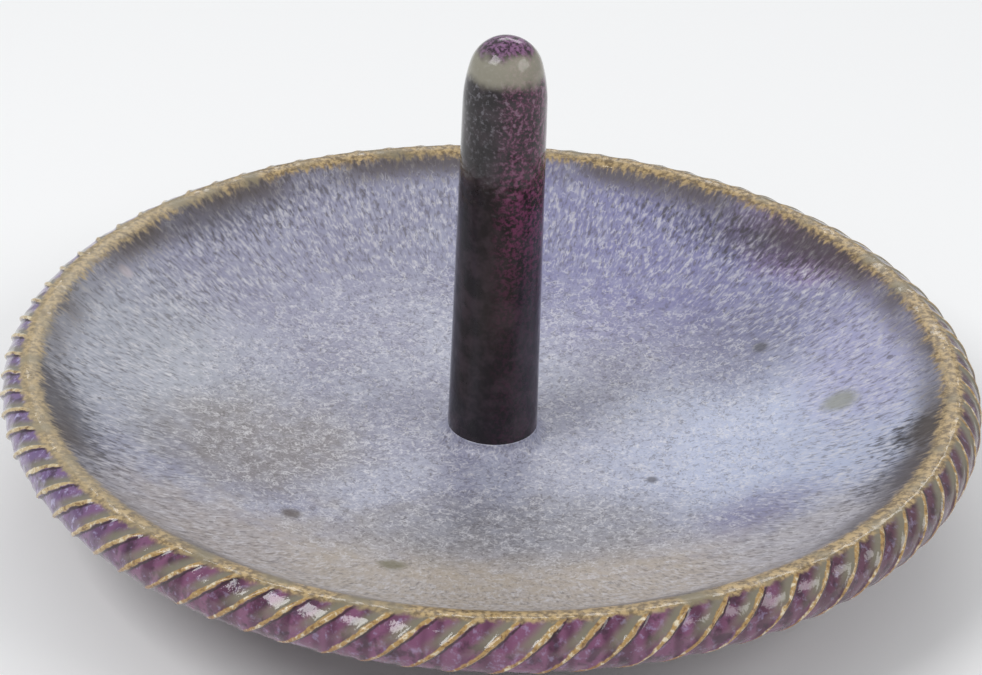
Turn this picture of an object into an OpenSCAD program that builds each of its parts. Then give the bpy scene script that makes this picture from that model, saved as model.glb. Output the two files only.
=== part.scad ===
// Ring dish: a fired stoneware dish with a rope-fluted rim and a tapered post for rings.
// The origin is on the table under the middle of the dish, +Z is up, and the front faces -Y.

/* [Well] */
// Radius of the flat pad in the middle of the floor, where the post stands
pad_r = 10; // [9.5:0.5:14]
// Radius at which the nearly flat floor turns up into the wall
floor_r = 29; // [24:0.5:34]
// Slope of the floor where it meets the wall, in degrees
floor_lean = 8; // [5:0.5:12]
// Slope of the wall where it meets the rim, in degrees
wall_lean = 38; // [30:0.5:42]
// Thickness of the clay in the floor and the wall
clay_t = 3.6; // [3:0.1:4.5]

/* [Rim] */
// Radius of the circle that the middle of the rolled rim follows
rim_r = 59.55; // [54:0.05:66]
// Radius of the roll of clay round the edge
roll_r = 3.35; // [3:0.05:4]
// Number of flutes pressed round the rim
flute_n = 82; // [64:1:90]
// Depth of a flute at its deepest
flute_d = 0.45; // [0.3:0.05:1.2]
// Lean of the flutes round the roll, in degrees
flute_lean = 45; // [0:1:50]
// Angle round the roll where a flute starts, near the crest
flute_top = 82; // [70:1:90]
// Angle round the roll where a flute ends, under the rim
flute_bottom = -70; // [-90:1:-50]
// Turn of the first flute round the dish
flute_turn = 195.7; // [180:0.1:210]
// How far the hand-made spacing drifts, in degrees
flute_drift = 0.9; // [0:0.1:1.2]
// The ridge between two flutes that is pressed nearly flat
worn_ridge = 4; // [0:1:40]

/* [Post] */
// Height of the post above the floor of the well
post_h = 56.1; // [40:0.5:70]
// Radius of the post where its domed top starts
post_top_r = 5.2; // [4.9:0.1:6]
// Taper of the post's side, in degrees
post_taper = 0.9; // [0:0.1:1.5]
// Radius of the very top of the dome
dome_tip_r = 4.6; // [4:0.1:4.8]
// Radius of the shoulder that blends the dome into the side
dome_shoulder_r = 20; // [14:1:30]
// How far the post stands to the right of the middle
post_x = 0.3; // [0:0.1:0.6]
// Depth of the pocket in the floor that the post is set into
pocket_d = 1; // [0.5:0.1:1.5]
// Radius of the cove of slip round the post's foot
cove_r = 2.4; // [1.5:0.1:2.6]

/* [Foot] */
// Outer radius of the foot ring
foot_r = 31; // [26:0.5:36]
// Width of the foot ring
foot_w = 4.5; // [3.5:0.1:6]
// Height of the clay floor above the table
foot_lift = 2.6; // [2:0.1:4]
// Radius of the rounded edges that the foot stands on
foot_edge_r = 1; // [0.5:0.1:1.4]

/* [Glaze] */
// Thickness of the glaze in the well and on the post
glaze_t = 0.6; // [0.4:0.05:0.9]
// Thickness of the glaze on the underside
under_glaze_t = 0.35; // [0.25:0.05:0.5]
// Width of the bare clay left outside the foot ring
bare_w = 2.5; // [1.5:0.1:5]
// Thickness of the slip film between the wall's edge and the roll
slip_t = 0.02; // [0.01:0.01:0.05]

/* [Hidden] */

round_fn = 180;
arc_fn = 256;
low_cut = 20;

// The well's surface in section: a flat pad, a floor arc and a wall arc, each tangent to the next
floor_z = foot_lift + clay_t + glaze_t;
seam_r = rim_r - roll_r * sin(wall_lean);
floor_arc_r = (floor_r - pad_r) / sin(floor_lean);
wall_arc_r = (seam_r - floor_r) / (sin(wall_lean) - sin(floor_lean));
floor_arc_z = floor_z + floor_arc_r;
wall_arc_x = pad_r + (floor_arc_r - wall_arc_r) * sin(floor_lean);
wall_arc_z = floor_arc_z - (floor_arc_r - wall_arc_r) * cos(floor_lean);
seam_z = wall_arc_z - wall_arc_r * cos(wall_lean);
rim_z = seam_z - roll_r * cos(wall_lean);

// The post in section: a straight foot, a tapered side, a shoulder arc and a tip arc
clay_floor_z = floor_z - glaze_t;
cove_top_z = clay_floor_z + cove_r;
tip_z = floor_z + post_h - dome_tip_r;
shoulder_x = post_top_r - dome_shoulder_r * cos(post_taper);
shoulder_z = tip_z - sqrt(pow(dome_shoulder_r - dome_tip_r, 2) - pow(shoulder_x, 2));
shoulder_turn = atan2(tip_z - shoulder_z, -shoulder_x);
side_top_z = shoulder_z + dome_shoulder_r * sin(post_taper);
post_r = post_top_r + (side_top_z - cove_top_z) * tan(post_taper);
post_clay_r = post_r - glaze_t;
cove_out_r = post_clay_r + cove_r;

// The rim's mesh: steps across one flute, and the angles round the roll that its rings follow
flute_steps = 5;
station_n = flute_n * flute_steps;
station_turn = 360 / station_n;
ring_steps = 7;
seat_turn = acos((seam_r + slip_t - rim_r) / roll_r);
roll_turns = concat(
    [seat_turn, (seat_turn + flute_top) / 2],
    [for (i = [0 : ring_steps]) flute_top + (flute_bottom - flute_top) * i / ring_steps],
    [(flute_bottom - seat_turn) / 2, -seat_turn]
);
ring_n = len(roll_turns);
lean_rate = tan(flute_lean) * roll_r / (rim_r + roll_r);
lean_total = (flute_top - flute_bottom) * lean_rate;
seat_shift = round(lean_total / station_turn);

// How deep a flute is pressed, along its length and across its width, each from 0 to 1
function along_flute(turn) =
    turn >= flute_top || turn <= flute_bottom
        ? 0
        : pow(sin(180 * (turn - flute_bottom) / (flute_top - flute_bottom)), 0.6);
function across_flute(share) = sin(180 * pow(share, 0.75));

// A ridge stands at share 0, and the worn one is pressed in nearly as deep as the flutes
function pressed(station) =
    station % flute_steps == 0
        ? (station == worn_ridge * flute_steps ? 0.7 : 0)
        : across_flute((station % flute_steps) / flute_steps);

// Where a station stands round the dish, and how far the flutes have leaned at an angle of the roll
function station_angle(station) =
    let (even = flute_turn + station * station_turn)
    even + flute_drift * cos(2 * even);
function lean_at(turn) =
    turn >= flute_top ? 0
    : turn >= flute_bottom ? (turn - flute_top) * lean_rate
    : -lean_total - (seat_shift * station_turn - lean_total)
        * (flute_bottom - turn) / (flute_bottom + seat_turn);

function rim_point(station, turn) =
    let (
        around = station_angle(station) + lean_at(turn),
        away = roll_r - flute_d * along_flute(turn) * pressed(station),
        out = rim_r + away * cos(turn)
    )
    [out * cos(around), out * sin(around), rim_z + away * sin(turn)];
function rim_index(station, ring) = ((station + station_n) % station_n) * ring_n + ring;

// A slice of a ring in section, from one slope to another, measured from straight down
module arc_band(x, z, inner_r, outer_r, from, to) {
    reach = 2 * outer_r;
    intersection() {
        translate([x, z])
            difference() {
                circle(r = outer_r, $fn = arc_fn);
                circle(r = inner_r, $fn = arc_fn);
            }
        polygon([
            [x, z],
            [x + reach * sin(from), z - reach * cos(from)],
            [x + reach * sin(to), z - reach * cos(to)]
        ]);
    }
}

// The layer between two depths below the well's surface, in section
module well_band(top, bottom) {
    translate([0, floor_z - bottom])
        square([pad_r, bottom - top]);
    arc_band(pad_r, floor_arc_z, floor_arc_r + top, floor_arc_r + bottom, 0, floor_lean);
    intersection() {
        arc_band(wall_arc_x, wall_arc_z, wall_arc_r + top, wall_arc_r + bottom,
                 floor_lean, wall_lean);
        square([seam_r, wall_arc_z]);
    }
}

// The post's outline in section, drawn in by a depth, from a height up
module post_band(depth, from_z) {
    side_r = dome_shoulder_r - depth;
    side_top = [shoulder_x + side_r * cos(post_taper), shoulder_z + side_r * sin(post_taper)];
    join_z = shoulder_z + side_r * sin(shoulder_turn);
    join = [shoulder_x + side_r * cos(shoulder_turn), join_z];
    polygon([
        [0, from_z],
        [post_r - depth, from_z],
        [post_r - depth, cove_top_z],
        side_top,
        join,
        [0, join_z]
    ]);
    intersection() {
        translate([shoulder_x, shoulder_z])
            circle(r = side_r, $fn = arc_fn);
        polygon([side_top, side_top + [post_r, 0], [join[0] + post_r, join_z], join]);
    }
    intersection() {
        translate([0, tip_z])
            circle(r = dome_tip_r - depth, $fn = arc_fn);
        translate([0, join_z])
            square([post_r, post_h]);
    }
}

module revolve() {
    rotate_extrude($fn = round_fn)
        children();
}

module at_post() {
    translate([post_x, 0, 0])
        children();
}

// The thrown dish: floor and wall in one even thickness, with the post's pocket cut in the floor
module dish_body() {
    color("#8d7f6f")
        difference() {
            revolve() well_band(glaze_t, glaze_t + clay_t);
            at_post()
                translate([0, 0, clay_floor_z - pocket_d])
                    cylinder(r = post_clay_r, h = pocket_d + glaze_t, $fn = round_fn);
        }
}

// The roll of clay round the edge, pressed with leaning flutes that leave sharp ridges
module rope_rim() {
    points = [
        for (station = [0 : station_n - 1])
            for (turn = roll_turns)
                rim_point(station, turn)
    ];
    skin = [
        for (station = [0 : station_n - 1])
            for (ring = [0 : ring_n - 2])
                each [
                    [rim_index(station, ring), rim_index(station, ring + 1),
                     rim_index(station + 1, ring + 1)],
                    [rim_index(station, ring), rim_index(station + 1, ring + 1),
                     rim_index(station + 1, ring)]
                ]
    ];
    seat = [
        for (station = [0 : station_n - 1])
            each [
                [rim_index(station, ring_n - 1), rim_index(station - seat_shift, 0),
                 rim_index(station + 1 - seat_shift, 0)],
                [rim_index(station, ring_n - 1), rim_index(station + 1 - seat_shift, 0),
                 rim_index(station + 1, ring_n - 1)]
            ]
    ];
    color("#7d5470")
        polyhedron(points = points, faces = concat(skin, seat), convexity = 6);
}

// The clay of the post, set in the floor's pocket
module ring_post() {
    color("#6f6258")
        at_post()
            revolve()
                post_band(glaze_t, clay_floor_z - pocket_d);
}

// The cove of slip that ties the post to the floor, buried under the glaze
module slip_fillet() {
    color("#9a8b78")
        at_post()
            revolve()
                difference() {
                    translate([post_clay_r, clay_floor_z])
                        square([cove_r, cove_r]);
                    translate([cove_out_r, cove_top_z])
                        circle(r = cove_r, $fn = arc_fn);
                }
}

// The bare clay ring that the dish stands on, with its lower edges rounded
module foot_ring() {
    color("#b09a7c")
        revolve()
            intersection() {
                well_band(glaze_t + clay_t, glaze_t + clay_t + low_cut);
                union() {
                    translate([foot_r - foot_w, foot_edge_r])
                        square([foot_w, low_cut]);
                    translate([foot_r - foot_w + foot_edge_r, 0])
                        square([foot_w - 2 * foot_edge_r, low_cut]);
                    translate([foot_r - foot_w + foot_edge_r, foot_edge_r])
                        circle(r = foot_edge_r, $fn = 48);
                    translate([foot_r - foot_edge_r, foot_edge_r])
                        circle(r = foot_edge_r, $fn = 48);
                }
            }
}

// The thick glaze that lines the well and runs up the cove to the post
module well_glaze() {
    color("#8f93ad") {
        difference() {
            revolve() well_band(0, glaze_t);
            at_post()
                translate([0, 0, clay_floor_z - glaze_t])
                    cylinder(r = cove_out_r, h = 3 * glaze_t, $fn = round_fn);
        }
        at_post()
            revolve()
                intersection() {
                    translate([cove_out_r, cove_top_z])
                        difference() {
                            circle(r = cove_r, $fn = arc_fn);
                            circle(r = cove_r - glaze_t, $fn = arc_fn);
                        }
                    translate([post_clay_r, clay_floor_z])
                        square([cove_r, cove_r]);
                }
    }
}

// The dark glossy glaze over the post, from the cove up
module post_glaze() {
    color("#2b2228")
        at_post()
            revolve()
                difference() {
                    post_band(0, cove_top_z);
                    post_band(glaze_t, cove_top_z - glaze_t);
                }
}

// The thin glaze under the dish, stopping short of the bare foot
module outer_glaze() {
    color("#6a5a5c")
        revolve()
            intersection() {
                well_band(glaze_t + clay_t, glaze_t + clay_t + under_glaze_t);
                translate([foot_r + bare_w, 0])
                    square([seam_r - foot_r - bare_w, wall_arc_z]);
            }
}

dish_body();
rope_rim();
ring_post();
slip_fillet();
foot_ring();
well_glaze();
post_glaze();
outer_glaze();
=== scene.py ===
import math

import bpy
import numpy as np
from mathutils import Matrix, Vector, noise


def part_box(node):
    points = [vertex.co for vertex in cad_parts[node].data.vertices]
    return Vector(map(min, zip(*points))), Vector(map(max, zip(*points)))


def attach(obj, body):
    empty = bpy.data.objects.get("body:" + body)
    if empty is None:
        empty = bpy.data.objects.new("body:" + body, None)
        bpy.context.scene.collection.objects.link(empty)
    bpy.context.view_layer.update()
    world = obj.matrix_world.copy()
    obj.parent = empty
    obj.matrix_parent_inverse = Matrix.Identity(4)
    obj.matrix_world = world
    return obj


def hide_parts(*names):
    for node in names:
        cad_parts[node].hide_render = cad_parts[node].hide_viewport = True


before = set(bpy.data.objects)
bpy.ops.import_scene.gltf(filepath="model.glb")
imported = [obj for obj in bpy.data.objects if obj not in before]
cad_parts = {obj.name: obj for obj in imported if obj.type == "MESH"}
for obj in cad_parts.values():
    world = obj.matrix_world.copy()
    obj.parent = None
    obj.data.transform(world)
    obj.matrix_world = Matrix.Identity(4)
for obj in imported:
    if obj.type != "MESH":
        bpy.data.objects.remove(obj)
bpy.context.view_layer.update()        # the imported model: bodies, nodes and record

MM = 0.001

# Camera, from the photograph: the aim is the middle of the rim's crest circle
IMAGE_PX = (982, 675)
CENTRE_PX = (493.4, 339.2)
FOCAL_PX = 2250
SENSOR = 36
CREST_Z = 21.04 * MM
DISTANCE = 291.42 * MM
LOOK_DOWN = math.radians(29.66)
ROLL = math.radians(2.22)

# The rim: the CAD rim's sizes, with more steps across and along each flute
RIM_R = 59.55
ROLL_R = 3.35
WALL_LEAN = 38
FLUTE_N = 82
FLUTE_D = 0.45
FLUTE_LEAN = 45
FLUTE_TOP = 82
FLUTE_BOTTOM = -70
FLUTE_TURN = 195.7
FLUTE_DRIFT = 0.9
WORN_RIDGE = 4
WORN_SHARE = 0.7
SEAM_R = RIM_R - ROLL_R * math.sin(math.radians(WALL_LEAN))
SLIP_T = 0.02
SEAT_TURN = math.degrees(math.acos((SEAM_R + SLIP_T - RIM_R) / ROLL_R))
STEPS_ACROSS = 20
RINGS_ALONG = 46
RINGS_BESIDE = 7

# How fast a flute fades towards its ends, the same power as in the CAD
FLUTE_FADE = 0.6

# Across a flute, in shares of its width and depth: rounder than the CAD's sine, with a steep side,
# a floor that rises and a far side
STEEP_END = 0.16
FLOOR_START = 0.25
FLOOR_RISE = 0.35
FAR_SIDE = 0.8

# Lumps in the rim's glaze: height in mm and rate per mm. They start a little inside the roll's
# middle radius and are full a little outside it
RIM_LUMP = 0.08
RIM_LUMP_RATE = 0.55
LUMP_INSIDE = 0.6
LUMP_OUTSIDE = 0.8

# The well in section, as in the CAD: a cove round the post, a flat pad, a floor arc and a wall arc
FLOOR_Z = 6.8
PAD_R = 10
FLOOR_R = 29
FLOOR_LEAN = 8
POST_X = 0.3
COVE_TOP_Z = 8.6
COVE_GLAZE_R = 1.8
COVE_STEPS = 10
FLOOR_STEPS = 26
WALL_STEPS = 48
WELL_STATIONS = 720
COAT_DEPTH = 0.5
COVE_EDGE_DEPTH = 0.1

# The coat on the roll: degrees that it runs over it, how far it stands proud, and where it sinks in
CREST_REACH = 46
CREST_STEPS = 14
CREST_PROUD_STEPS = 9
COAT_PROUD = 0.03
CREST_SINK = 0.12

# Swells in the coat, as a rate per mm and a height in mm, with one more on the roll
WELL_SWELLS = ((0.35, 0.05), (0.9, 0.025))
CREST_SWELL = (1.4, 0.04)

# Radius in mm at which a streak has the width that it is given
STREAK_R = 50.0

# Lamps: name, place in metres, width, height and power in watts
LAMPS = (
    ("key_lamp", (-0.35, -0.25, 0.55), 0.30, 0.30, 1.9),
    ("fill_lamp", (0.45, -0.20, 0.40), 0.35, 0.25, 0.85),
    ("back_lamp", (0.05, 0.55, 0.45), 0.40, 0.20, 0.7),
)
LAMP_AIM = (0, 0, 0.02)
WORLD_TINT = (0.96, 0.98, 1, 1)
WORLD_LEVEL = 0.52
FLOOR_REACH = 4


def tint(code):
    """A colour written as six hex digits, in the linear values that shaders take."""
    parts = [int(code[i:i + 2], 16) / 255 for i in (0, 2, 4)]
    return tuple(((p + 0.055) / 1.055) ** 2.4 if p > 0.04045 else p / 12.92 for p in parts) + (1,)


class Paint:
    """One material. Each call adds a node and gives back the socket that carries its result."""

    def __init__(self, name):
        self.material = bpy.data.materials.new(name)
        self.material.use_nodes = True
        self.tree = self.material.node_tree
        self.shader = self.tree.nodes["Principled BSDF"]
        metres = self.add("ShaderNodeTexCoord").outputs["Object"]
        self.place = self.vector("SCALE", metres, scale=1 / MM)
        split = self.add("ShaderNodeSeparateXYZ")
        self.plug(split.inputs[0], self.place)
        self.x = split.outputs["X"]
        self.z = split.outputs["Z"]
        flat = self.vector("MULTIPLY", self.place, (1, 1, 0))
        self.r = self.vector("LENGTH", flat)
        self.heading = self.vector("NORMALIZE", flat)

    def add(self, kind, **settings):
        node = self.tree.nodes.new(kind)
        for name, value in settings.items():
            setattr(node, name, value)
        return node

    def plug(self, socket, value):
        if isinstance(value, bpy.types.NodeSocket):
            self.tree.links.new(value, socket)
        else:
            socket.default_value = value

    def math(self, operation, *values):
        node = self.add("ShaderNodeMath", operation=operation)
        for socket, value in zip(node.inputs, values):
            self.plug(socket, value)
        return node.outputs[0]

    def vector(self, operation, *values, scale=None):
        node = self.add("ShaderNodeVectorMath", operation=operation)
        for socket, value in zip(node.inputs, values):
            self.plug(socket, value)
        if scale is not None:
            self.plug(node.inputs["Scale"], scale)
        return node.outputs["Value" if operation in ("LENGTH", "DISTANCE") else "Vector"]

    def spread(self, value, low, high, to_low=0.0, to_high=1.0):
        """A smooth step from to_low to to_high while the value goes from low to high."""
        node = self.add("ShaderNodeMapRange", interpolation_type="SMOOTHSTEP")
        for socket, given in zip(node.inputs, (value, low, high, to_low, to_high)):
            self.plug(socket, given)
        return node.outputs[0]

    def grain(self, size, detail=2.0, rough=0.5, place=None, shift=0.0, bend=0.0):
        """Noise from 0 to 1 with features of a size in mm."""
        node = self.add("ShaderNodeTexNoise")
        start = self.place if place is None else place
        if shift:
            start = self.vector("ADD", start, (shift, -shift, 0.7 * shift))
        self.plug(node.inputs["Vector"], start)
        node.inputs["Scale"].default_value = 1 / size
        node.inputs["Detail"].default_value = detail
        node.inputs["Roughness"].default_value = rough
        node.inputs["Distortion"].default_value = bend
        return node.outputs["Fac"]

    def streaks(self, width, length, shift=0.0, detail=2.0):
        """Noise drawn out along the radius, with its width in mm at STREAK_R."""
        around = self.vector("SCALE", self.heading, scale=STREAK_R / width)
        along = self.add("ShaderNodeCombineXYZ")
        self.plug(along.inputs[2], self.math("DIVIDE", self.r, length))
        both = self.vector("ADD", around, along.outputs[0])
        return self.grain(1.0, detail=detail, place=both, shift=shift, bend=0.3)

    def curl(self, size, stretched, shift):
        """Thin curly lines, where a noise crosses its middle. They run outwards where stretched is 1."""
        even = self.grain(size, detail=2, rough=0.6, shift=shift)
        drawn = self.streaks(size * 0.6, size * 1.5, shift=shift)
        both = self.math("ADD", self.math("MULTIPLY", even, self.math("SUBTRACT", 1.0, stretched)),
                         self.math("MULTIPLY", drawn, stretched))
        away = self.math("ABSOLUTE", self.math("SUBTRACT", both, 0.5))
        return self.spread(away, 0.045, 0.01)

    def mix(self, share, first, second):
        node = self.add("ShaderNodeMix", data_type="RGBA")
        self.plug(node.inputs[0], share)
        self.plug(node.inputs[6], tint(first) if isinstance(first, str) else first)
        self.plug(node.inputs[7], tint(second) if isinstance(second, str) else second)
        return node.outputs[2]

    def lay(self, mask, share, under, over):
        """One tint laid over another, up to a share, where the mask is 1."""
        return self.mix(self.math("MULTIPLY", mask, share), under, over)

    def patch(self, x, y, reach_x, reach_y, turn, edge, wobble):
        """1 inside an oval in plan view, fading over its edge, which a noise makes ragged."""
        node = self.add("ShaderNodeMapping", vector_type="TEXTURE")
        self.plug(node.inputs["Vector"], self.place)
        node.inputs["Location"].default_value = (x, y, 0)
        node.inputs["Rotation"].default_value = (0, 0, math.radians(turn))
        node.inputs["Scale"].default_value = (reach_x, reach_y, 1)
        flat = self.vector("MULTIPLY", node.outputs[0], (1, 1, 0))
        away = self.math("ADD", self.vector("LENGTH", flat), wobble)
        return self.spread(away, 1 - edge, 1 + edge, 1.0, 0.0)

    def bump(self, height, depth):
        """Fine relief of a depth in mm, from a height that runs from 0 to 1."""
        node = self.add("ShaderNodeBump")
        node.inputs["Distance"].default_value = depth * MM
        self.plug(node.inputs["Height"], height)
        self.plug(self.shader.inputs["Normal"], node.outputs["Normal"])

    def finish(self, colour, roughness, **settings):
        """The finished material. Settings are sockets of the shader, with _ for each space."""
        self.plug(self.shader.inputs["Base Color"], colour)
        self.plug(self.shader.inputs["Roughness"], roughness)
        for name, value in settings.items():
            self.shader.inputs[name.replace("_", " ")].default_value = value
        return self.material


# The well's zones of colour: place, reach, turn and edge in plan view, the tint and its share
WELL_ZONES = (
    (26, 38, 30, 18, -35, 0.7, "8482ac", 0.9),
    (-30, 36, 26, 16, 40, 0.7, "9594ac", 0.8),
    (-48, 2, 15, 19, 0, 0.6, "a6a9b4", 0.9),
    (-30, -8, 13, 12, 20, 0.5, "7b7472", 0.8),
    (39, -6, 21, 20, -10, 0.6, "b2bad4", 0.95),
    (50, 8, 8, 14, 0, 0.6, "a5a3c8", 0.75),
    (0, -46, 46, 21, 0, 0.5, "b5a898", 0.95),
    (4, -24, 20, 8, 5, 0.6, "83838c", 0.8),
    (33.5, -22, 7, 5, 30, 0.7, "66608c", 0.6),
    (40, -34, 12, 8, 40, 0.6, "aaa5a8", 0.8),
    (34, 18, 7, 9, 0, 0.7, "70708e", 0.6),
    (47, 33, 5, 13, 50, 0.7, "9a78a6", 0.8),
    (-34, -36, 14, 9, -40, 0.6, "a59b98", 0.75),
)
# Dark patches where the glaze ran thin beside the rim: place, reach, turn, edge and share
WELL_DARKS = (
    (55, -15, 5, 4, 0, 0.6, 0.95),
    (50.5, -25, 7, 4, 58, 0.7, 0.7),
    (-52.5, -19, 4, 12, 22, 0.7, 0.7),
    (-46, 34, 3.5, 20, -52, 0.7, 0.5),
    (49, 31, 3.5, 24, 56, 0.7, 0.75),
)
# Small spots in the glaze: place, reach and tint
WELL_SPOTS = (
    (-24, -24, 1.3, "4a3c34"),
    (-11, -35, 1.6, "6f6a4e"),
    (46, 1, 2.2, "8f9186"),
    (37, 18, 1.1, "45454f"),
    (-51, 20, 0.9, "c9bfc6"),
    (21, -11, 0.7, "3f3d49"),
)


def crest_tint(paint, share_left):
    """The tan clay colour that shows where glaze breaks over the crest."""
    speck = paint.grain(0.7, detail=4, rough=0.6, shift=9.0)
    cloud = paint.grain(6.0, detail=2, shift=4.0)
    tan = paint.mix(paint.spread(speck, 0.38, 0.62), "786549", "bda376")
    tan = paint.mix(paint.spread(cloud, 0.45, 0.7), tan, "857a63")
    return paint.lay(share_left, 0.3, tan, "b5a88c")


def well_paint():
    """Mottled grey-blue glaze with lavender zones, dark patches and a tan edge at the crest."""
    paint = Paint("well_glaze_lavender")
    wobble = paint.math("MULTIPLY_ADD", paint.grain(5.0, detail=4, rough=0.6), 1.1, -0.55)
    on_wall = paint.spread(paint.r, 34.0, 46.0)
    floor_grain = paint.grain(0.7, detail=4, rough=0.62, shift=3.0, bend=1.2)
    wall_grain = paint.streaks(0.5, 1.15, shift=5.0, detail=3.0)
    grain = paint.math("ADD", paint.math("MULTIPLY", floor_grain, paint.math("SUBTRACT", 1.0, on_wall)),
                       paint.math("MULTIPLY", wall_grain, on_wall))

    cloud = paint.grain(11.0, detail=3, rough=0.55, shift=1.0)
    colour = paint.mix(paint.spread(cloud, 0.35, 0.65), "8c8ca2", "9fa1b4")
    for x, y, reach_x, reach_y, turn, edge, code, share in WELL_ZONES:
        mask = paint.patch(x, y, reach_x, reach_y, turn, edge, wobble)
        colour = paint.lay(mask, share, colour, code)

    veil = paint.spread(paint.grain(2.6, detail=3, rough=0.6, shift=7.0), 0.42, 0.66)
    colour = paint.lay(veil, 0.2, colour, "b9bac8")
    colour = paint.mix(paint.spread(grain, 0.52, 0.68, 0.0, 0.6), colour, "d0cdd0")
    colour = paint.mix(paint.spread(grain, 0.48, 0.34, 0.0, 0.55), colour, "5e5858")
    curls = paint.math("MULTIPLY", paint.curl(1.3, on_wall, shift=4.0),
                       paint.spread(paint.grain(1.6, detail=2, shift=14.0), 0.44, 0.6))
    colour = paint.lay(curls, 0.45, colour, "dddbdf")
    pits = paint.math("MULTIPLY", paint.curl(1.0, on_wall, shift=21.0),
                      paint.spread(paint.grain(1.4, detail=2, shift=17.0), 0.5, 0.66))
    colour = paint.lay(pits, 0.4, colour, "4d4749")

    ragged = paint.math("MULTIPLY_ADD", wall_grain, 2.4, -1.2)
    for x, y, reach_x, reach_y, turn, edge, share in WELL_DARKS:
        mask = paint.patch(x, y, reach_x, reach_y, turn, edge, ragged)
        colour = paint.lay(mask, share, colour, "2b2526")
    for x, y, reach, code in WELL_SPOTS:
        mask = paint.patch(x, y, reach, reach, 0, 0.5, wobble)
        colour = paint.lay(mask, 0.8, colour, code)

    share_left = paint.spread(paint.math("DIVIDE", paint.x, paint.r), -0.5, -0.9)
    pulled = paint.math("MULTIPLY_ADD", wall_grain, 3.6, paint.r)
    around = paint.grain(17.0, detail=2, shift=12.0)
    dark_ring = paint.math("MULTIPLY", paint.spread(pulled, 55.0, 58.6),
                           paint.spread(around, 0.35, 0.6, 0.25, 0.8))
    colour = paint.mix(dark_ring, colour, "4d423a")
    colour = paint.mix(paint.spread(pulled, 58.7, 60.0), colour, crest_tint(paint, share_left))

    height = paint.math("MULTIPLY_ADD", grain, 0.5, paint.grain(3.0, detail=2, shift=6.0))
    paint.bump(height, 0.08)
    roughness = paint.spread(grain, 0.3, 0.7, 0.42, 0.30)
    return paint.finish(colour, roughness, Specular_IOR_Level=0.5)


def rim_paint():
    """Plum glaze that pools in the flutes and breaks tan on the ridges and the crest, with painted shade
    down the steep side of each flute and under the roll.
    """
    paint = Paint("rim_glaze_plum")
    flute = paint.add("ShaderNodeAttribute", attribute_name="flute").outputs["Fac"]
    along = paint.add("ShaderNodeAttribute", attribute_name="along").outputs["Fac"]
    drift = paint.math("MULTIPLY_ADD", paint.grain(1.6, detail=3, rough=0.6), 0.16, -0.08)
    place = paint.math("ADD", flute, drift)
    share = paint.math("FRACT", place)
    near_ridge = paint.math("ABSOLUTE", paint.math("MULTIPLY_ADD", share, 2.0, -1.0))
    thick = paint.math("MULTIPLY_ADD", paint.grain(2.2, detail=2, shift=11.0), 0.3, 0.64)
    ridge = paint.spread(near_ridge, thick, paint.math("ADD", thick, 0.1))
    each = paint.grain(0.8, place=paint.vector("SCALE", paint.heading, scale=30.0), detail=0)

    sideways = paint.math("DIVIDE", paint.x, paint.r)
    share_left = paint.spread(sideways, -0.55, -0.9)
    share_right = paint.spread(sideways, 0.3, 0.85)

    pool = paint.mix(paint.spread(each, 0.35, 0.65), "562c46", "7a4a69")
    pool = paint.lay(share_right, 0.85, pool, "553640")
    pool = paint.lay(share_left, 0.8, pool, "75618f")
    fleck = paint.spread(paint.grain(0.9, detail=4, rough=0.65, shift=2.0), 0.52, 0.68)
    fleck_share = paint.math("MULTIPLY_ADD", share_left, 0.5, 0.28)
    pool = paint.lay(fleck, fleck_share, pool, "b9b2d8")
    deep = paint.spread(paint.grain(1.4, detail=3, shift=8.0), 0.5, 0.34)
    pool = paint.lay(deep, 0.7, pool, "331a2b")

    upper = paint.math("MULTIPLY", paint.spread(share, 0.42, 0.8), paint.spread(along, 0.42, 0.75))
    pool = paint.lay(upper, 0.9, pool, "7d7866")

    crest = crest_tint(paint, share_left)
    line = paint.mix(paint.spread(along, 0.1, 0.6), "93602f", "ab8a55")
    line = paint.lay(share_left, 0.6, line, "cdbd96")
    line_grain = paint.grain(0.8, detail=3, rough=0.65, shift=5.0)
    line = paint.mix(paint.spread(line_grain, 0.5, 0.66, 0.0, 0.8), line, "e6dcc2")
    line = paint.mix(paint.spread(line_grain, 0.46, 0.34, 0.0, 0.8), line, "6e4f30")
    colour = paint.mix(ridge, pool, line)
    # Painted shade: a dark line down the steep side of each flute, beside its ridge
    flank_shade = paint.math("MULTIPLY", paint.spread(share, 0.07, 0.10), paint.spread(share, 0.20, 0.13))
    colour = paint.lay(flank_shade, 0.8, colour, "2a181c")

    ragged = paint.math("MULTIPLY_ADD", paint.grain(0.9, detail=3, shift=3.0), 0.16, along)
    colour = paint.mix(paint.spread(ragged, 1.02, 1.10), colour, crest)
    # Painted shade: the bottom of the roll, where it turns under towards the floor, is made darker
    low = paint.spread(ragged, 0.16, 0.0)
    colour = paint.lay(low, 0.7, colour, "3c2630")

    height = paint.grain(1.6, detail=3, rough=0.6, shift=6.0)
    paint.bump(height, 0.12)
    roughness = paint.spread(ridge, 0.0, 1.0, 0.10, 0.28)
    return paint.finish(colour, roughness, Coat_Weight=0.3, Coat_Roughness=0.03)


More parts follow.
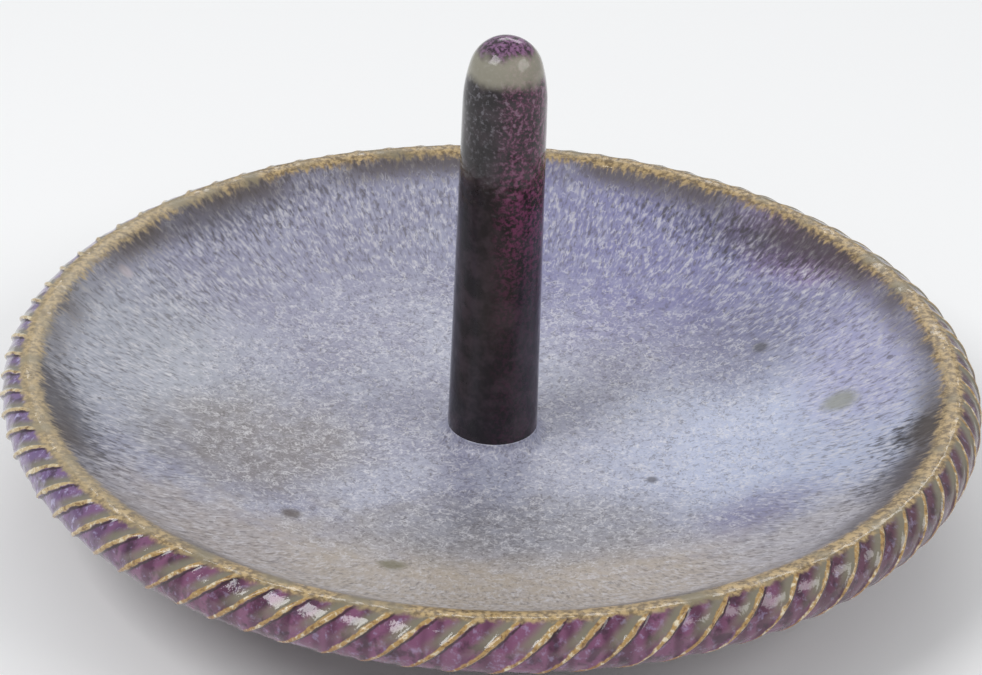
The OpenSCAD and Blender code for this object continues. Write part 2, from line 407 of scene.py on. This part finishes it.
def post_paint():
    """Near-black glaze with plum specks to the right, grey specks that thicken upwards as painted sheen,
    a painted silvery sheen band and a purple cap.
    """
    paint = Paint("post_glaze_aubergine")
    speck = paint.grain(0.55, detail=4, rough=0.65, shift=2.0)
    cloud = paint.grain(3.2, detail=3, rough=0.6, shift=5.0)
    colour = paint.mix(paint.spread(cloud, 0.4, 0.65), "1f1a1d", "362c32")

    plum_side = paint.spread(paint.x, -1.5, 2.0)
    plum_up = paint.spread(paint.z, 24.0, 46.0, 0.15, 1.0)
    plum = paint.math("MULTIPLY", plum_side, plum_up)
    plum = paint.math("MULTIPLY", plum, paint.spread(speck, 0.42, 0.62))
    colour = paint.lay(plum, 0.9, colour, "74365a")

    # Grey specks of the glaze, laid only on the upper part and growing towards the top as a painted
    # sheen
    specks_and_sheen = paint.math("MULTIPLY", paint.spread(paint.z, 40.0, 56.0), paint.spread(speck, 0.5, 0.68))
    colour = paint.lay(specks_and_sheen, 0.45, colour, "8d8a92")

    wavy = paint.math("MULTIPLY_ADD", cloud, 2.4, paint.z)
    # Painted sheen: a silvery band of reflected light round the post below its cap
    sheen_band = paint.math("MULTIPLY", paint.spread(wavy, 58.6, 60.4), paint.spread(wavy, 63.4, 62.0))
    colour = paint.lay(sheen_band, 0.75, colour, "a09c8c")
    cap = paint.math("MULTIPLY", paint.spread(wavy, 62.2, 63.6), paint.spread(speck, 0.4, 0.6))
    colour = paint.lay(cap, 0.9, colour, "8a6488")

    paint.bump(paint.grain(4.5, detail=3, shift=7.0), 0.25)
    return paint.finish(colour, 0.12, Specular_IOR_Level=0.3, Coat_Weight=0.2, Coat_Roughness=0.03)


def clay_paint(name, dark, light):
    """Fired stoneware left bare: warm, dry and speckled with grog."""
    paint = Paint(name)
    cloud = paint.grain(9.0, detail=3, shift=2.0)
    colour = paint.mix(paint.spread(cloud, 0.35, 0.65), dark, light)
    grog = paint.grain(0.45, detail=2, shift=4.0)
    colour = paint.mix(paint.spread(grog, 0.66, 0.74, 0.0, 0.8), colour, "5c4330")
    colour = paint.mix(paint.spread(grog, 0.34, 0.26, 0.0, 0.6), colour, "d8c8ab")
    ridges = paint.math("SINE", paint.math("MULTIPLY", paint.r, 5.0))
    height = paint.math("MULTIPLY_ADD", ridges, 0.15, paint.grain(0.6, detail=4, rough=0.7))
    paint.bump(height, 0.1)
    return paint.finish(colour, 0.82)


def outer_paint():
    """The thin glaze under the dish: plum over brown, in runs that end above the foot."""
    paint = Paint("outer_glaze_brown")
    runs = paint.streaks(1.6, 7.0, shift=3.0)
    cloud = paint.grain(8.0, detail=3, shift=2.0)
    colour = paint.mix(paint.spread(cloud, 0.35, 0.65), "4a3338", "5f4450")
    colour = paint.mix(paint.spread(runs, 0.5, 0.66, 0.0, 0.6), colour, "7d6a78")
    speck = paint.grain(0.8, detail=4, rough=0.65)
    colour = paint.mix(paint.spread(speck, 0.56, 0.7, 0.0, 0.5), colour, "8e86a2")
    edge = paint.math("MULTIPLY_ADD", runs, 4.0, paint.r)
    colour = paint.mix(paint.spread(edge, 38.0, 35.5), colour, "8f7350")
    paint.bump(paint.grain(2.0, detail=3, shift=8.0), 0.1)
    return paint.finish(colour, 0.2)


def smooth_step(value, low, high):
    """0 below low, 1 above high and a smooth rise between them."""
    share = np.clip((value - low) / (high - low), 0, 1)
    return share * share * (3 - 2 * share)


def rim_centre_z():
    """Height of the middle of the roll, from the CAD rim's box: its top is the crest."""
    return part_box("rope_rim")[1].z / MM - ROLL_R


def add_object(name, data):
    thing = bpy.data.objects.new(name, data)
    bpy.context.scene.collection.objects.link(thing)
    return thing


def add_piece(name, points, faces):
    """A smooth mesh from points in mm."""
    mesh = bpy.data.meshes.new(name)
    mesh.from_pydata((points.reshape(-1, 3) * MM).tolist(), [], faces)
    mesh.shade_smooth()
    return add_object(name, mesh)


def build_rim():
    """The rolled rim with its pressed flutes: rings round the roll, stations round the dish."""
    turns = np.concatenate((
        np.linspace(SEAT_TURN, FLUTE_TOP, RINGS_BESIDE, endpoint=False),
        np.linspace(FLUTE_TOP, FLUTE_BOTTOM, RINGS_ALONG, endpoint=False),
        np.linspace(FLUTE_BOTTOM, -SEAT_TURN, RINGS_BESIDE),
    ))[:, None]
    station_n = FLUTE_N * STEPS_ACROSS
    flute = np.arange(station_n) / STEPS_ACROSS
    station_turn = 360 / station_n
    even = FLUTE_TURN + flute * 360 / FLUTE_N
    lean_rate = math.tan(math.radians(FLUTE_LEAN)) * ROLL_R / (RIM_R + ROLL_R)
    lean_total = (FLUTE_TOP - FLUTE_BOTTOM) * lean_rate
    seat_shift = round(lean_total / station_turn)
    below = np.clip((FLUTE_BOTTOM - turns) / (FLUTE_BOTTOM + SEAT_TURN), 0, 1)
    lean = (np.clip(turns, FLUTE_BOTTOM, FLUTE_TOP) - FLUTE_TOP) * lean_rate
    lean = lean - (seat_shift * station_turn - lean_total) * below
    around = np.radians(even + FLUTE_DRIFT * np.cos(np.radians(2 * even)) + lean)

    share = flute % 1
    dip = smooth_step(share, 0, STEEP_END) * (1 - FLOOR_RISE * smooth_step(share, FLOOR_START, FAR_SIDE))
    dip = dip * (1 - smooth_step(share, FAR_SIDE, 1.0))
    worn = np.where(abs(flute - WORN_RIDGE) < 0.5, WORN_SHARE, 0)
    pressed = 1 - (1 - dip) * (1 - worn)
    along = (turns - FLUTE_BOTTOM) / (FLUTE_TOP - FLUTE_BOTTOM)
    inside = np.sin(math.pi * np.clip(along, 0, 1)) ** FLUTE_FADE
    away = ROLL_R - FLUTE_D * inside * pressed

    out = RIM_R + away * np.cos(np.radians(turns))
    seam_z = rim_centre_z()
    points = np.stack((out * np.cos(around), out * np.sin(around),
                       seam_z + away * np.sin(np.radians(turns))), axis=-1)

    ring_n = len(turns)
    faces = []
    flute_at = []
    for ring in range(ring_n):
        last = ring == ring_n - 1
        for station in range(station_n):
            after = (station + 1) % station_n
            back = seat_shift if last else 0
            low = 0 if last else ring + 1
            faces.append((ring * station_n + station,
                          low * station_n + (station - back) % station_n,
                          low * station_n + (after - back) % station_n,
                          ring * station_n + after))
            flute_at += [station, station, station + 1, station + 1]
    piece = add_piece("rope_rim_glazed", points, faces)
    mesh = piece.data
    mesh.attributes.new("flute", "FLOAT", "CORNER").data.foreach_set(
        "value", np.array(flute_at) / STEPS_ACROSS)
    mesh.attributes.new("along", "FLOAT", "POINT").data.foreach_set(
        "value", np.repeat(along[:, 0], station_n))
    for vertex in mesh.vertices:
        away_from_axis = Vector((vertex.co.x, vertex.co.y, 0)).normalized()
        middle = away_from_axis * RIM_R * MM + Vector((0, 0, seam_z * MM))
        from_axis = math.hypot(vertex.co.x, vertex.co.y) / MM
        outer_side = smooth_step(from_axis, RIM_R - LUMP_INSIDE, RIM_R + LUMP_OUTSIDE)
        lump = noise.noise(vertex.co / MM * RIM_LUMP_RATE) * RIM_LUMP * outer_side * MM
        vertex.co += (vertex.co - middle).normalized() * lump
    return piece


def lathe(name, loop, station_n, shift_x):
    """A closed ring of faces through a closed loop of (radius, height) points, in mm."""
    turn = 2 * math.pi * np.arange(station_n) / station_n
    loop = np.array(loop)
    x = loop[:, :1] * np.cos(turn) + np.array(shift_x)[:, None]
    y = loop[:, :1] * np.sin(turn)
    z = np.repeat(loop[:, 1:], station_n, axis=1)
    faces = []
    for row in range(len(loop)):
        under = (row + 1) % len(loop)
        for station in range(station_n):
            after = (station + 1) % station_n
            faces.append((row * station_n + station, row * station_n + after,
                          under * station_n + after, under * station_n + station))
    return add_piece(name, np.stack((x, y, z), axis=-1), faces)


def round_point(x, z, radius, turn):
    """The point at an angle in degrees on a circle, in the section's (radius, height)."""
    angle = math.radians(turn)
    return (x + radius * math.cos(angle), z + radius * math.sin(angle))


def arc_points(x, z, radius, start, end, steps):
    """Points along an arc, from one angle to another in degrees, both ends included."""
    return [round_point(x, z, radius, start + (end - start) * i / steps) for i in range(steps + 1)]


def build_well():
    """The coat in the well: it runs from the cove over floor and wall, and thins out on the crest."""
    floor_lean = math.radians(FLOOR_LEAN)
    wall_lean = math.radians(WALL_LEAN)
    floor_arc_r = (FLOOR_R - PAD_R) / math.sin(floor_lean)
    wall_arc_r = (SEAM_R - FLOOR_R) / (math.sin(wall_lean) - math.sin(floor_lean))
    floor_arc_z = FLOOR_Z + floor_arc_r
    wall_arc_x = PAD_R + (floor_arc_r - wall_arc_r) * math.sin(floor_lean)
    wall_arc_z = floor_arc_z - (floor_arc_r - wall_arc_r) * math.cos(floor_lean)
    cove_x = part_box("post_glaze")[1].x / MM - POST_X + COVE_GLAZE_R

    top = arc_points(cove_x, COVE_TOP_Z, COVE_GLAZE_R, 180, 270, COVE_STEPS)
    top += [(PAD_R, FLOOR_Z)]
    top += arc_points(PAD_R, floor_arc_z, floor_arc_r, 270, 270 + FLOOR_LEAN, FLOOR_STEPS)[1:]
    top += arc_points(wall_arc_x, wall_arc_z, wall_arc_r,
                      270 + FLOOR_LEAN, 270 + WALL_LEAN, WALL_STEPS)[1:]
    wall_end = len(top)
    for i in range(1, CREST_STEPS + 1):
        turn = 90 + WALL_LEAN - CREST_REACH * i / CREST_STEPS
        sunk = max(0, (i - CREST_PROUD_STEPS) / (CREST_STEPS - CREST_PROUD_STEPS)) ** 2
        lift = COAT_PROUD - CREST_SINK * sunk
        top += [round_point(RIM_R, rim_centre_z(), ROLL_R + lift, turn)]
    top = np.array(top)
    along = np.gradient(top, axis=0)
    normal = np.stack((-along[:, 1], along[:, 0]), axis=-1)
    normal /= np.linalg.norm(normal, axis=1)[:, None]
    depth = np.full(len(top), COAT_DEPTH)
    depth[0] = COVE_EDGE_DEPTH
    back = (top - normal * depth[:, None])[::-1]
    loop = np.concatenate((top, back))
    shift_x = POST_X * (1 - smooth_step(loop[:, 0], cove_x, PAD_R))
    piece = lathe("well_glaze_coat", loop, WELL_STATIONS, shift_x)
    lifts = smooth_step(top[:, 0], cove_x, PAD_R)
    for row in range(len(top)):
        outward = normal[row]
        for station in range(WELL_STATIONS):
            vertex = piece.data.vertices[row * WELL_STATIONS + station]
            turn = 2 * math.pi * station / WELL_STATIONS
            at = vertex.co / MM
            swells = WELL_SWELLS + (CREST_SWELL,) if row > wall_end else WELL_SWELLS
            lump = sum(noise.noise(at * rate) * height for rate, height in swells)
            push = lump * lifts[row] * MM
            vertex.co += Vector((outward[0] * math.cos(turn), outward[0] * math.sin(turn),
                                 outward[1])) * push
    return piece


def dress(node, material):
    """Gives a carried CAD node its material."""
    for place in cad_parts[node].material_slots:
        place.material = material


def add_camera():
    data = bpy.data.cameras.new("camera")
    data.sensor_width = SENSOR
    data.lens = FOCAL_PX * SENSOR / IMAGE_PX[0]
    data.shift_x = (IMAGE_PX[0] / 2 - CENTRE_PX[0]) / IMAGE_PX[0]
    data.shift_y = (CENTRE_PX[1] - IMAGE_PX[1] / 2) / IMAGE_PX[0]
    data.clip_start = 0.01
    side = Vector((1, 0, 0))
    forward = Vector((0, math.cos(LOOK_DOWN), -math.sin(LOOK_DOWN)))
    level_up = Vector((0, math.sin(LOOK_DOWN), math.cos(LOOK_DOWN)))
    right = side * math.cos(ROLL) + level_up * math.sin(ROLL)
    up = level_up * math.cos(ROLL) - side * math.sin(ROLL)
    turn = Matrix((right, up, -forward)).transposed().to_4x4()
    camera = add_object("camera", data)
    camera.matrix_world = Matrix.Translation(Vector((0, 0, CREST_Z)) - forward * DISTANCE) @ turn
    bpy.context.scene.camera = camera


def add_lamp(name, place, width, height, power):
    """A soft lamp that faces the dish and stays out of the camera's sight."""
    data = bpy.data.lights.new(name, "AREA")
    data.shape = "RECTANGLE"
    data.size = width
    data.size_y = height
    data.energy = power
    lamp = add_object(name, data)
    lamp.location = place
    lamp.rotation_euler = (Vector(LAMP_AIM) - Vector(place)).to_track_quat("-Z", "Y").to_euler()
    lamp.visible_camera = False


def add_studio():
    bpy.context.scene.view_settings.view_transform = "Standard"
    world = bpy.data.worlds.new("studio")
    world.use_nodes = True
    world.node_tree.nodes["Background"].inputs["Color"].default_value = WORLD_TINT
    world.node_tree.nodes["Background"].inputs["Strength"].default_value = WORLD_LEVEL
    bpy.context.scene.world = world
    for lamp in LAMPS:
        add_lamp(*lamp)

    mesh = bpy.data.meshes.new("floor")
    corners = [(x * FLOOR_REACH, y * FLOOR_REACH, 0) for x, y in ((-1, -1), (1, -1), (1, 1), (-1, 1))]
    mesh.from_pydata(corners, [], [(0, 1, 2, 3)])
    floor = add_object("floor", mesh)
    paint = Paint("floor_white")
    mesh.materials.append(paint.finish((0.95, 0.95, 0.95, 1), 0.9, Specular_IOR_Level=0.1))


add_camera()
add_studio()

rim = build_rim()
rim.data.materials.append(rim_paint())
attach(rim, "root")
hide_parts("rope_rim")

coat = build_well()
coat.data.materials.append(well_paint())
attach(coat, "root")
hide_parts("well_glaze")

dress("post_glaze", post_paint())
dress("outer_glaze", outer_paint())
dress("dish_body", clay_paint("clay_body_bare", "a8906c", "bda683"))
dress("foot_ring", clay_paint("foot_clay_bare", "a58a64", "b89e78"))
dress("ring_post", clay_paint("post_clay_bare", "9c8768", "b09a78"))
dress("slip_fillet", clay_paint("slip_bare", "b09c7d", "c4b192"))
